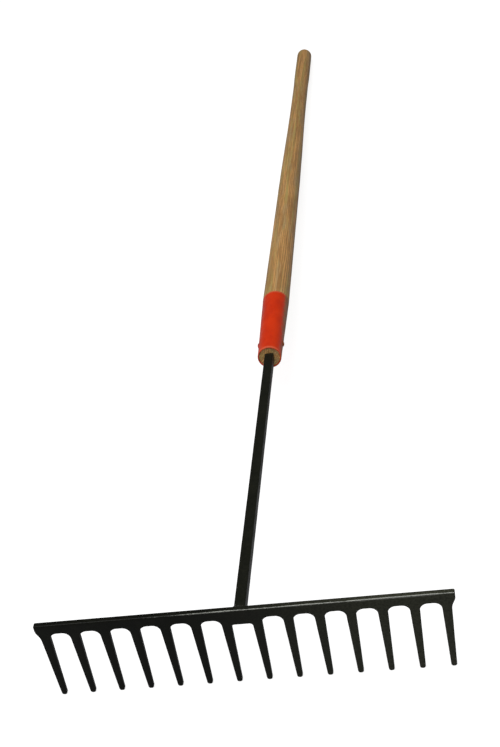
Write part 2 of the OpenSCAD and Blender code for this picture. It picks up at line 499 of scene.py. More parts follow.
def fill_dust(r: Recipe, given: Sockets) -> Sockets:
    """Fine pale dust that settles on what faces up, in soft clouds.

    Args:
        r: The group's own tree.
        given: The group's input sockets by name.

    Returns:
        A socket for each output.
    """
    up = r.axis(r.put("ShaderNodeNewGeometry").outputs["Normal"], "Z")
    lying = r.step(up, 0.1, 0.95)
    where = r.place()
    cloud = r.step(r.noise(where, 38.0, 5.0, 0.62), 0.42, 0.78)
    specks = r.step(r.noise(where, 1600.0, 1.0, 0.5), 0.68, 0.74)
    lain = r.plus(r.times(cloud, 0.7), r.times(specks, 0.9))
    amount = r.times(r.times(lain, lying), given["Amount"])
    return {"Color": r.tint(amount, given["Color"], given["Dust"])}


class Effects:
    """The effects that more than one finish uses."""

    def __init__(self) -> None:
        """Builds each node group once."""
        self.worn = shared_effect(
            "worn_patches",
            {"Mark": (FLOAT, 0.0), "Patch": (FLOAT, 60.0), "Reach": (FLOAT, 0.6)},
            {"Bare": FLOAT}, fill_worn)
        self.coat = shared_effect(
            "brushed_coat", {"Scale": (FLOAT, 700.0), "Pits": (FLOAT, 0.3)},
            {"Height": FLOAT, "Cloud": FLOAT}, fill_brushed_coat)
        self.dust = shared_effect(
            "settled_dust",
            {"Color": (COLOUR, (0, 0, 0)), "Dust": (COLOUR, (0.4, 0.38, 0.34)),
             "Amount": (FLOAT, 0.1)},
            {"Color": COLOUR}, fill_dust)


class Finish:
    """A finish: one material, wired by its own kind.

    Attributes:
        name: The material's name.
    """

    name: str

    def wire(self, r: Recipe, effects: Effects) -> Sockets:
        """Values and sockets for the inputs of the material's surface.

        Args:
            r: The material's own tree.
            effects: The shared node groups.

        Returns:
            The surface's inputs by name.
        """
        raise NotImplementedError

    def build(self, effects: Effects) -> Material:
        """Makes the material.

        Args:
            effects: The shared node groups.

        Returns:
            The material, ready to wear.
        """
        made = bpy.data.materials.new(self.name)
        made.use_nodes = True
        recipe = Recipe(made.node_tree)
        recipe.surface(self.wire(recipe, effects))
        return made


@dataclass(frozen=True)
class BlackEnamel(Finish):
    """Black enamel dipped over forged steel, thin on its edges.

    Attributes:
        black: The enamel's colour.
        warm: The colour of the thin places, where scale shows through.
        painted_sheen: Painted sheen, a lighter greenish grey on the +X end for the light
            reflected there.
        painted_sheen_from: Where on X that painted sheen begins and is full, in metres.
        steel: The bare metal's colour.
        reach: How easily edges are worn bare.
        ridge_wear_and_highlight_reach: How easily the marked ridge is laid bare, partly wear and
            partly a painted highlight.
        peel: Waves a metre of the coat's fine peel.
        relief: Depth of the coat's unevenness, in metres.
        gloss: Roughness where the coat is glossiest and dullest.
    """

    name: str = "black_enamel"
    black: Colour = (0.0030, 0.0036, 0.0018)
    warm: Colour = (0.0075, 0.0078, 0.0036)
    painted_sheen: Colour = (0.048, 0.050, 0.033)
    painted_sheen_from: tuple[float, float] = (-0.06, 0.17)
    steel: Colour = (0.20, 0.205, 0.185)
    reach: float = 0.42
    ridge_wear_and_highlight_reach: float = 0.80
    peel: float = 620.0
    relief: float = 0.00022
    gloss: tuple[float, float] = (0.34, 0.50)

    def wire(self, r: Recipe, effects: Effects) -> Sockets:
        """Wires the coat, its thin and worn places (on the ridge partly a painted highlight), its
        dust and a painted sheen on the +X end.

        Args:
            r: The material's own tree.
            effects: The shared node groups.

        Returns:
            The surface's inputs by name.
        """
        where = r.place()
        coat = r.group(effects.coat, {"Scale": self.peel, "Pits": 0.35})
        edge = r.group(effects.worn, {"Mark": r.mark(Mark.EDGE), "Patch": 70.0,
                                      "Reach": self.reach})
        # Bare steel along the ridge: partly wear, partly a painted highlight.
        ridge = r.group(effects.worn, {"Mark": r.mark(Mark.RIDGE), "Patch": 26.0,
                                       "Reach": self.ridge_wear_and_highlight_reach})
        bare = r.reckon("MAXIMUM", edge.outputs["Bare"], ridge.outputs["Bare"])
        thin = r.step(r.noise(where, 130.0, 5.0, 0.6), 0.35, 0.8)
        paint = r.tint(thin, self.black, self.warm)
        # Painted sheen: the +X end turns a lighter, mottled greenish grey, standing in for the
        # brighter light reflected on that side.
        across = r.axis(where, "X")
        sheen_mottle = r.step(r.noise(where, 420.0, 4.0, 0.6), 0.30, 0.62, 0.45, 1.0)
        sheen_share = r.times(sheen_mottle, r.step(across, *self.painted_sheen_from))
        paint = r.tint(sheen_share, paint, self.painted_sheen)
        paint = r.group(effects.dust, {"Color": paint, "Dust": (0.33, 0.32, 0.27),
                                       "Amount": 0.010}).outputs["Color"]
        gloss = r.step(coat.outputs["Cloud"], 0.0, 1.0, *self.gloss)
        scuffs = r.step(r.noise(r.turned(where, (1.0, 0.16, 1.0)), 900.0, 3.0, 0.6), 0.6, 0.72)
        gloss = r.plus(gloss, r.times(scuffs, 0.10))
        height = r.minus(coat.outputs["Height"], r.times(bare, 0.5))
        return {
            "Base Color": r.tint(bare, paint, self.steel),
            "Metallic": r.times(bare, 0.85),
            "Roughness": r.tint(bare, gloss, (0.42, 0.42, 0.42)),
            "Specular IOR Level": 0.18,
            "Normal": r.bump(height, self.relief),
        }


@dataclass(frozen=True)
class LacqueredWood(Finish):
    """Straight-grained brown wood under thin clear lacquer.

    Attributes:
        early: Colour of the broad pale wood.
        late: Colour of the darker lines between a year's growth.
        olive: Colour of the greenish streaks.
        grey: Colour of the weathered, greyer streaks.
        pore: Colour of the open pores.
        pith: How far the tree's middle lay to the -X side and above, in metres.
        years: Growth rings a metre.
        tilt: The handle's slope to the ground, in radians.
    """

    tilt: float
    name: str = "lacquered_wood"
    early: Colour = (0.90, 0.500, 0.175)
    late: Colour = (0.44, 0.220, 0.075)
    olive: Colour = (0.56, 0.420, 0.135)
    grey: Colour = (0.56, 0.400, 0.200)
    pore: Colour = (0.20, 0.100, 0.034)
    pith: tuple[float, float] = (0.021, 0.062)
    years: float = 430.0

    def wire(self, r: Recipe, effects: Effects) -> Sockets:
        """Wires the grain, ring by ring, its streaks and its pores.

        Args:
            r: The material's own tree.
            effects: The shared node groups.

        Returns:
            The surface's inputs by name.
        """
        level = r.turned(r.place(), (1, 1, 1), (self.tilt, 0, 0))
        along = r.turned(level, (1.0, 0.030, 1.0))
        bend = r.noise(r.turned(level, (1.0, 0.10, 1.0)), 26.0, 2.0, 0.5)
        off_x = r.plus(r.axis(along, "X"), self.pith[0])
        off_z = r.minus(r.axis(along, "Z"), self.pith[1])
        reach = r.reckon("SQRT", r.plus(r.times(off_x, off_x), r.times(off_z, off_z)))
        ring = r.plus(reach, r.times(bend, 0.011))
        year = r.reckon("FRACT", r.times(ring, self.years))
        late = r.times(r.step(year, 0.30, 0.86), r.step(year, 1.0, 0.93))
        streak = r.noise(along, 420.0, 5.0, 0.68)
        broad = r.noise(r.turned(level, (1.0, 0.035, 1.0)), 150.0, 3.0, 0.55)
        side = r.noise(r.turned(level, (1.0, 0.08, 1.0), (0, 0, 0), (3.1, 0.4, 1.7)),
                       125.0, 3.0, 0.55)
        wood = r.tint(r.times(late, 0.80), self.early, self.late)
        wood = r.tint(r.step(broad, 0.46, 0.60, 0.0, 0.85), wood, self.olive)
        wood = r.tint(r.step(side, 0.50, 0.64, 0.0, 0.60), wood, self.grey)
        wood = r.tint(r.step(streak, 0.42, 0.62, 0.0, 0.85), wood, self.late)
        pores = r.noise(r.turned(level, (1.0, 0.05, 1.0)), 2100.0, 2.0, 0.6)
        open_pore = r.step(pores, 0.60, 0.70)
        pore_share = r.times(open_pore, r.step(late, 0.1, 0.7, 0.35, 0.75))
        wood = r.tint(pore_share, wood, self.pore)
        wood = r.group(effects.dust, {"Color": wood, "Dust": (0.55, 0.50, 0.42),
                                      "Amount": 0.02}).outputs["Color"]
        height = r.minus(r.times(streak, 0.5), r.times(open_pore, 0.9))
        gloss = r.step(r.noise(level, 60.0, 3.0, 0.6), 0.3, 0.7, 0.40, 0.56)
        return {
            "Base Color": wood,
            "Roughness": r.plus(gloss, r.times(open_pore, 0.15)),
            "Specular IOR Level": 0.30,
            "Coat Weight": 0.15,
            "Coat Roughness": 0.30,
            "Normal": r.bump(height, 0.00012),
        }


@dataclass(frozen=True)
class RedPaint(Finish):
    """Bright red enamel on sheet steel, pale where it thins.

    Attributes:
        red: The full coat's colour.
        deep: The colour where the coat pooled.
        rim: The pale pinkish colour of the coat's thin edges.
        painted_shade: Painted shade, the brownish grey laid on the +X side for the shade there.
        steel: The bare metal's colour.
        reach: How easily edges are worn bare.
        painted_shade_from: Where on X the painted shade begins and is full, in metres.
        peel: Waves a metre of the coat's fine peel.
        relief: Depth of the coat's unevenness, in metres.
        gloss: Roughness where the coat is glossiest and dullest.
    """

    name: str = "red_paint"
    red: Colour = (0.90, 0.050, 0.004)
    deep: Colour = (0.72, 0.030, 0.003)
    rim: Colour = (0.88, 0.17, 0.075)
    painted_shade: Colour = (0.33, 0.165, 0.055)
    steel: Colour = (0.40, 0.36, 0.33)
    reach: float = 0.30
    painted_shade_from: tuple[float, float] = (0.0158, 0.0192)
    peel: float = 480.0
    relief: float = 0.00018
    gloss: tuple[float, float] = (0.30, 0.44)

    def wire(self, r: Recipe, effects: Effects) -> Sockets:
        """Wires the coat, its pale edges, the painted shade on its +X side and its dust.

        Args:
            r: The material's own tree.
            effects: The shared node groups.

        Returns:
            The surface's inputs by name.
        """
        where = r.place()
        coat = r.group(effects.coat, {"Scale": self.peel, "Pits": 0.25})
        edge = r.mark(Mark.EDGE)
        bare = r.group(effects.worn, {"Mark": edge, "Patch": 95.0,
                                      "Reach": self.reach}).outputs["Bare"]
        pooled = r.step(r.noise(r.turned(where, (1.0, 0.35, 1.0)), 70.0, 4.0, 0.55), 0.35, 0.75)
        paint = r.tint(pooled, self.red, self.deep)
        paint = r.tint(r.step(edge, 0.05, 0.9, 0.0, 0.75), paint, self.rim)
        # Painted shade: the ferrule's +X side turns brownish grey past a wobbly border, standing
        # in for the shade on that side.
        across = r.axis(where, "X")
        shade_wobble = r.times(r.noise(where, 190.0, 4.0, 0.65), 0.007)
        thin = r.step(r.plus(across, shade_wobble), *self.painted_shade_from, 0.0, 0.85)
        paint = r.tint(thin, paint, self.painted_shade)
        paint = r.group(effects.dust, {"Color": paint, "Dust": (0.60, 0.45, 0.38),
                                       "Amount": 0.015}).outputs["Color"]
        gloss = r.step(coat.outputs["Cloud"], 0.0, 1.0, *self.gloss)
        height = r.minus(coat.outputs["Height"], r.times(bare, 0.6))
        return {
            "Base Color": r.tint(bare, paint, self.steel),
            "Metallic": r.times(bare, 0.8),
            "Roughness": gloss,
            "Specular IOR Level": 0.26,
            "Normal": r.bump(height, self.relief),
        }


# ---- The head ----


@dataclass
class ForgedComb(Part):
    """The rake's head: web, middle boss and tines, forged in one. Millimetres.

    Attributes:
        tines: Number of tines.
        pitch: From one tine's axis to the next.
        drop: Front top edge down to the tips.
        root_width: Width of a tine at the web.
        tip_width: Width of a tine at its end, before its corners are rounded.
        tip_thickness: Thickness of a tine at its end.
        web_height: Height of the web.
        web_thickness: Thickness of the web.
        boss_drop: Extra depth of the web in the middle gap.
        overhang: Web beyond the outer side of each end tine.
        end_depth: Top edge down to where the web's ends slope inwards.
        slope_depth: Top edge down to where they meet the outer side of the end tines.
        arch_reach: How far the arches' corners are rounded.
        boss_reach: How far the middle gap's corners are rounded.
        end_reach: How far the web's lower outer corners are rounded.
        end_fillet: How far the corner where they meet the end tines is rounded.
        crown_reach: How far the web's upper outer corners are rounded.
        tip_reach: How far the tips' corners are rounded.
        rim: Rounding of every front and back edge.
        corner_flats: Flats in one rounded corner.
        rim_flats: Flats in one rounded edge.
        row: From one row of faces down the tines to the next.
        wear_and_highlight_share: How much the ridge is laid bare on its -X side, and on the rest;
            partly wear, partly a painted highlight.
        wear_and_highlight_span: Where along the ridge the one turns into the other.
        hammered: Depth of the hammer's unevenness.
        strayed: How far a tip may stray from its true place.
    """

    tines: int = 14
    pitch: float = 28.0
    drop: float = 88.5
    root_width: float = 9.2
    tip_width: float = 5.3
    tip_thickness: float = 4.2
    web_height: float = 11.0
    web_thickness: float = WEB_THICKNESS
    boss_drop: float = 6.5
    overhang: float = 3.5
    end_depth: float = 7.85
    slope_depth: float = 15.6
    arch_reach: float = 6.9
    boss_reach: float = 3.0
    end_reach: float = 1.6
    end_fillet: float = 3.0
    crown_reach: float = 1.3
    tip_reach: float = 2.35
    rim: float = 1.0
    corner_flats: int = 7
    rim_flats: int = 3
    row: float = 4.0
    wear_and_highlight_share: tuple[float, float] = (0.30, 0.92)
    wear_and_highlight_span: tuple[float, float] = (-160.0, -10.0)
    hammered: float = 0.13
    strayed: float = 0.35
    piece: Piece = Piece("forged_comb", Slot.BLACK_ENAMEL, ("rake_head",))
    crease: float = 60.0

    @property
    def first_tine(self) -> float:
        """Where the first tine's axis stands."""
        return -(self.tines - 1) / 2 * self.pitch

    @property
    def half_length(self) -> float:
        """Half the head's length."""
        return -self.first_tine + self.root_width / 2 + self.overhang

    def tine_half(self, depth: float) -> float:
        """Half a tine's width at a depth below the top edge."""
        share = (depth - self.web_height) / (self.drop - self.web_height)
        return mix(self.root_width, self.tip_width, share) / 2

    def run_web(self, bm: BMesh) -> list[BMEdge]:
        """Draws the web out from its left end, stop by stop.

        Args:
            bm: An empty mesh.

        Returns:
            The web's lower edges from left to right: an overhang, then tine, gap,
            tine and so on, and the other overhang.
        """
        gap = self.pitch - self.root_width
        stops = [self.overhang, self.root_width]
        stops += [gap, self.root_width] * (self.tines - 1) + [self.overhang]
        top = bm.verts.new((-self.half_length, 0, 0))
        low = bm.verts.new((-self.half_length, 0, -self.web_height))
        end = bm.edges.new((top, low))
        for stop in stops:
            verts, (end,) = draw_out(bm, [end])
            bmesh.ops.translate(bm, vec=(stop, 0, 0), verts=verts)
        under = [e for e in bm.edges
                 if all(abs(v.co.z + self.web_height) < NEAR for v in e.verts)]
        return sorted(under, key=lambda e: e.verts[0].co.x + e.verts[1].co.x)

    def draw_down(self, bm: BMesh, edge: BMEdge, depth: float, half: float) -> BMEdge:
        """Draws one lower edge down to a depth, and sets its half width there.

        Args:
            bm: The mesh.
            edge: The edge to draw down.
            depth: How deep it comes to lie.
            half: Half its new width.

        Returns:
            The new lower edge.
        """
        middle = (edge.verts[0].co.x + edge.verts[1].co.x) / 2
        verts, (lower,) = draw_out(bm, [edge])
        for vert in verts:
            vert.co.x = middle + math.copysign(half, vert.co.x - middle)
            vert.co.z = -depth
        return lower

    def outline(self) -> BMesh:
        """The head's flat outline as one face, with every corner rounded.

        Returns:
            The outline's mesh, on the head's front plane.
        """
        bm = bmesh.new()
        under = self.run_web(bm)
        boss_depth = self.web_height + self.boss_drop
        for edge in under[1::2]:
            upper = self.draw_down(bm, edge, boss_depth, self.tine_half(boss_depth))
            self.draw_down(bm, upper, self.drop, self.tip_width / 2)
        middle_gap = under[self.tines]
        self.draw_down(bm, middle_gap, boss_depth,
                       self.pitch / 2 - self.tine_half(boss_depth))
        bmesh.ops.remove_doubles(bm, verts=bm.verts, dist=NEAR)
        bmesh.ops.dissolve_limit(bm, angle_limit=STRAIGHT, use_dissolve_boundaries=False,
                                 verts=bm.verts, edges=bm.edges, delimit=set())
        outer = -self.first_tine + self.root_width / 2
        corners: dict[float, list[BMVert]] = {
            self.arch_reach: [], self.boss_reach: [], self.end_reach: [],
            self.end_fillet: [], self.crown_reach: [], self.tip_reach: []}
        for vert in bm.verts:
            depth, out = -vert.co.z, abs(vert.co.x)
            reach = self.arch_reach
            if depth < NEAR:
                reach = self.crown_reach
            elif depth > self.drop - NEAR:
                reach = self.tip_reach
            elif depth > boss_depth - NEAR:
                reach = self.boss_reach
            elif out > outer + NEAR:
                vert.co.z = -self.end_depth
                reach = self.end_reach
            elif out > outer - NEAR:
                met = self.tine_half(self.slope_depth) - self.first_tine
                vert.co = Vector((math.copysign(met, vert.co.x), 0, -self.slope_depth))
                reach = self.end_fillet
            corners[reach].append(vert)
        for reach, verts in corners.items():
            round_off(bm, verts, reach, self.corner_flats)
        return bm

    def make(self) -> BMesh:
        """Gives the outline its thickness, round edges, taper and hammer marks.

        Returns:
            The head's mesh, in the comb's own frame.
        """
        bm = self.outline()
        out = bmesh.ops.extrude_face_region(bm, geom=bm.faces[:])["geom"]
        back = [g for g in out if isinstance(g, BMVert)]
        bmesh.ops.translate(bm, vec=(0, self.web_thickness, 0), verts=back)
        bmesh.ops.recalc_face_normals(bm, faces=bm.faces)
        rims = [e for e in bm.edges if abs(e.verts[0].co.y - e.verts[1].co.y) < NEAR]
        round_off(bm, rims, self.rim, self.rim_flats, "EDGES")
        column = self.pitch / 8
        columns = int(2 * self.half_length / column) + 1
        slice_up(bm, 0, [i * column for i in range(-columns // 2, columns // 2 + 1)])
        slice_up(bm, 2, [-self.row * i for i in range(1, int(self.drop / self.row) + 1)])
        slice_up(bm, 1, [self.web_thickness / 2])
        mark_edges(bm)
        # The ridge mark is partly wear and partly a painted highlight, weaker towards the -X end.
        ridge = new_mark(bm, Mark.RIDGE)
        for vert in bm.verts:
            away = math.hypot(max(0.0, vert.co.y), vert.co.z)
            wear_and_highlight_share = mix(*self.wear_and_highlight_share, smooth(*self.wear_and_highlight_span, vert.co.x))
            vert[ridge] = smooth(1.8, 0.6, away) * wear_and_highlight_share
        self.shape(bm)
        return bm

    def shape(self, bm: BMesh) -> None:
        """Thins the tines towards their tips and lets them stray as forged ones do.

        Args:
            bm: The head's mesh, still flat and square.
        """
        bm.normal_update()
        middle = self.web_thickness / 2
        for vert in bm.verts:
            number = round((vert.co.x - self.first_tine) / self.pitch)
            number = min(self.tines - 1, max(0, number))
            share = max(0.0, (-vert.co.z - self.web_height) / (self.drop - self.web_height))
            dent = self.hammered * uneven(vert.co, 9.0, 4.0) * smooth(0.0, 0.12, share)
            dent += self.hammered * 0.45 * uneven(vert.co, 24.0, 9.0)
            vert.co -= vert.normal * (self.hammered * 0.5 - dent * 0.5)
            thin = mix(1.0, self.tip_thickness / self.web_thickness, share)
            vert.co.y = middle + (vert.co.y - middle) * thin
            own = Vector((number * 3.7, 1.3, 0.0))
            vert.co.x += self.strayed * share ** 1.6 * uneven(own, 1.0, 2.6)
            vert.co.y += self.strayed * share ** 1.6 * uneven(own, 1.0, 7.1)

    def bench(self) -> Matrix:
        """The comb's own frame: the head's."""
        return AXES.head()


# ---- Shank and weld ----


@dataclass
class SquareShank(Part):
    """The square bar from the head to the handle, with its tang. Millimetres.

    Attributes:
        side: Side of the bar.
        corner: Rounding of the bar's long edges.
        reach: From the front of the head to the ferrule's mouth.
        tang_start: Where the tang begins, past the mouth.
        tang_length: Length of the tang.
        tang_tip: Side of the tang's tip.
        tang_steps: Sections along the tang.
        step: From one section to the next.
        waver: How far the bar's faces stray from flat.
        web_thickness: Thickness of the web that it butts against.
    """

    side: float = SHANK_SIDE
    corner: float = 0.9
    reach: float = AXES.shank_reach
    tang_start: float = 1.0
    tang_length: float = 130.0
    tang_tip: float = 6.0
    tang_steps: int = 10
    step: float = 9.0
    waver: float = 0.10
    web_thickness: float = WEB_THICKNESS
    piece: Piece = Piece("square_shank", Slot.BLACK_ENAMEL, ("shank",))

    def draw(self) -> BMesh:
        """Draws the bar out from a square blank, then tapers its tang.

        Returns:
            The bar's mesh, along the handle's axis.
        """
        bm = bmesh.new()
        bmesh.ops.create_grid(bm, x_segments=1, y_segments=1, size=self.side / 2)
        bmesh.ops.subdivide_edges(bm, edges=bm.edges[:], cuts=2, use_grid_fill=True)
        corners = [v for v in bm.verts
                   if min(abs(v.co.x), abs(v.co.y)) > self.side / 2 - NEAR]
        round_off(bm, corners, self.corner, 3)
        bmesh.ops.translate(bm, vec=(0, 0, -self.reach), verts=bm.verts)
        front = bm.faces[:]
        bar = self.reach + self.tang_start
        stops = [bar / round(bar / self.step)] * round(bar / self.step)
        taper = [self.tang_length / self.tang_steps] * self.tang_steps
        side = self.side
        for number, stop in enumerate(stops + taper):
            out = bmesh.ops.extrude_face_region(bm, geom=front)["geom"]
            front = [g for g in out if isinstance(g, BMFace)]
            verts = list({v for f in front for v in f.verts})
            bmesh.ops.translate(bm, vec=(0, 0, stop), verts=verts)
            if number >= len(stops):
                share = (number + 1 - len(stops)) / len(taper)
                wanted = mix(self.side, self.tang_tip, share)
                bmesh.ops.scale(bm, vec=(wanted / side, wanted / side, 1), verts=verts)
                side = wanted
        bmesh.ops.recalc_face_normals(bm, faces=bm.faces)
        mark_edges(bm)
        new_mark(bm, Mark.RIDGE)
        bm.normal_update()
        for vert in bm.verts:
            if -self.reach + 8 < vert.co.z < self.tang_start + self.tang_length - 1:
                vert.co += vert.normal * self.waver * (uneven(vert.co, 26.0, 5.0) - 0.5)
        return bm

    def cut_to_web(self, bm: BMesh) -> BMesh:
        """Cuts the bar's foot to the back of the web, and closes the cut.

        Args:
            bm: The bar's mesh.

        Returns:
            The same mesh.
        """
        web = AXES.handle().inverted() @ AXES.head()
        at = web @ Vector((0, self.web_thickness, 0))
        facing = (web.to_3x3() @ Vector((0, 1, 0))).normalized()
        cut = bmesh.ops.bisect_plane(bm, geom=everything(bm), dist=CUT, plane_co=at,
                                     plane_no=facing, clear_inner=True)["geom_cut"]
        rim = [g for g in cut if isinstance(g, BMEdge)]
        bmesh.ops.holes_fill(bm, edges=rim, sides=0)
        bmesh.ops.recalc_face_normals(bm, faces=bm.faces)
        return bm

    def make(self) -> BMesh:
        """The bar with its tang, cut to the web."""
        return self.cut_to_web(self.draw())


@dataclass
class WeldBead(Part):
    """The weld all round the shank's foot, laid in overlapping ripples. Millimetres.

    Attributes:
        side: Side of the shank it runs round.
        crest: From the ferrule's mouth back to the web's rear face.
        rings: The bead's section: place along the shank from the crest, and how far
            it stands out from the shank.
        squareness: How squarely the rings follow the bar.
        ripples: Ripples in one round.
        ripple: Height of a ripple.
        lump: Height of the bead's own unevenness.
        flats: Flats in one round.
    """

    side: float = SHANK_SIDE
    crest: float = AXES.shank_reach - WEB_THICKNESS
    rings: tuple[tuple[float, float], ...] = (
        (2.1, -0.25), (1.75, 0.2), (1.3, 0.6), (0.75, 0.95), (0.15, 1.15),
        (-0.45, 1.2), (-1.0, 1.0), (-1.4, 0.6), (-1.6, 0.1))
    squareness: float = 7.0
    ripples: int = 26
    ripple: float = 0.12
    lump: float = 0.28
    flats: int = 156
    piece: Piece = Piece("weld_ripples", Slot.WELD_ENAMEL, ("weld_bead",))
    crease: float = 80.0

    def reach(self, angle: float) -> float:
        """The reach of a ring that is one unit from its middle to its side.

        Args:
            angle: The direction round the bar, in radians.

        Returns:
            The ring's radius in that direction.
        """
        power = self.squareness
        spread = abs(math.cos(angle)) ** power + abs(math.sin(angle)) ** power
        return spread ** (-1 / power)

    def make(self) -> BMesh:
        """Lays the bead ring by ring, then ripples it.

        Returns:
            The bead's mesh, in the handle's frame.
        """
        bm = bmesh.new()
        bmesh.ops.create_circle(bm, cap_ends=False, radius=1.0, segments=self.flats)
        verts, ring = bm.verts[:], bm.edges[:]
        for number, (place, stand) in enumerate(self.rings):
            if number:
                verts, ring = draw_out(bm, ring)
            for vert in verts:
                angle = math.atan2(vert.co.y, vert.co.x)
                radius = (self.side / 2 + stand) * self.reach(angle)
                vert.co = Vector((radius * math.cos(angle), radius * math.sin(angle),
                                  place - self.crest))
        bmesh.ops.recalc_face_normals(bm, faces=bm.faces)
        bm.normal_update()
        edge = new_mark(bm, Mark.EDGE)
        new_mark(bm, Mark.RIDGE)
        front, rear = self.rings[0][0], self.rings[-1][0]
        for vert in bm.verts:
            angle = math.atan2(vert.co.y, vert.co.x)
            place = vert.co.z + self.crest
            swell = smooth(front, front - 0.9, place) * smooth(rear, rear + 0.7, place)
            scallop = abs(math.sin(angle * self.ripples / 2 + place * 0.5)) - 0.5
            # Ripple crests marked for bare steel: partly wear, partly painted glints.
            vert[edge] = swell * smooth(0.1, 0.5, scallop) * 0.7
            push = self.ripple * scallop + self.lump * uneven(vert.co, 4.2, 8.0)
            vert.co += vert.normal * push * swell
        return bm


# ---- Handle, ferrule and rivet ----


@dataclass
class TurnedHandle(Part):
    """The wooden handle, turned from the ferrule's seat to the rounded butt. Millimetres.

    Attributes:
        recess: From the ferrule's mouth to the wood's end inside it.
        seat_start: Radius of the seat at its end.
        seat_end: Radius of the seat at the shoulder.
        shoulder: Where the shoulder stands, and its radius.
        belly: Where the long taper ends, and its radius.
        waist: Where the waist begins and ends, and its radius.
        butt: Where the butt's cylinder begins and where its end begins to round,
            and its radius.
        butt_round: Radius of the rounded end's edge.
        bevel: Bevel of the hidden end.
        soft: Softening of the shoulder's edge.
        step: From one section to the next.
        flats: Flats in one round.
        waver: How far the turner's hand strayed.
    """

    recess: float = 1.0
    seat_start: float = 12.968
    seat_end: float = 15.5
    shoulder: tuple[float, float] = (140.2, 16.75)
    belly: tuple[float, float] = (470.0, 15.85)
    waist: tuple[float, float, float] = (915.0, 975.0, 13.1)
    butt: tuple[float, float, float] = (1068.0, 1178.0, 13.8)
    butt_round: float = 12.0
    bevel: float = 0.5
    soft: float = 0.35
    step: float = 8.0
    flats: int = 96
    waver: float = 0.12
    piece: Piece = Piece("turned_handle", Slot.LACQUERED_WOOD, ("handle",))

    def radius(self, station: float) -> float:
        """The wood's radius behind the shoulder.

        Args:
            station: From the ferrule's mouth along the handle.

        Returns:
            The radius there.
        """
        (shoulder, at_shoulder), (belly, at_belly) = self.shoulder, self.belly
        waist, waist_end, at_waist = self.waist
        butt, _, at_butt = self.butt
        if station <= belly:
            return mix(at_shoulder, at_belly, (station - shoulder) / (belly - shoulder))
        start, end, low, high = waist_end, butt, at_waist, at_butt
        if station <= waist:
            start, end, low, high = belly, waist, at_belly, at_waist
        share = min(1.0, max(0.0, (station - start) / (end - start)))
        return mix(low, high, (1 - math.cos(math.pi * share)) / 2)

    def profile(self) -> Outline:
        """The handle's outline from the hidden end to the middle of the butt.

        Returns:
            The outline as radius and station.
        """
        soft = self.soft
        points = [(0.0, self.recess), (self.seat_start - self.bevel, self.recess),
                  (self.seat_start, self.recess + self.bevel),
                  (self.seat_end, self.shoulder[0]),
                  (self.shoulder[1] - soft, self.shoulder[0]),
                  (self.shoulder[1] - soft * 0.3, self.shoulder[0] + soft * 0.3)]
        count = round((self.butt[1] - self.shoulder[0]) / self.step)
        for number in range(count + 1):
            station = mix(self.shoulder[0] + soft, self.butt[1], number / count)
            points.append((self.radius(station), station))
        flat = self.butt[2] - self.butt_round
        points += [(flat + self.butt_round * cos, self.butt[1] + self.butt_round * sin)
                   for sin, cos in arc(math.pi / 2, 12)[1:]]
        return points + [(0.0, self.butt[1] + self.butt_round)]

    def make(self) -> BMesh:
        """Turns the handle, with the slight waver of a hand-fed lathe.

        Returns:
            The handle's mesh, in its own frame.
        """
        bm = spun(self.profile(), self.flats)
        edge = new_mark(bm, Mark.EDGE)
        for vert in bm.verts:
            station = vert.co.z
            outward = Vector((*vert.co.xy, 0))
            vert[edge] = smooth(self.shoulder[0] + 3.0, self.shoulder[0] + 0.4, station)
            calm = smooth(self.shoulder[0] + 4, self.shoulder[0] + 60, station)
            calm *= smooth(self.butt[1] + 6, self.butt[0] - 5, station)
            if outward.length > 1:
                outward.normalize()
                place = Vector((outward.x * 6, outward.y * 6, station * 0.35))
                vert.co += outward * self.waver * calm * (uneven(place, 14.0, 3.0) - 0.4)
        return bm


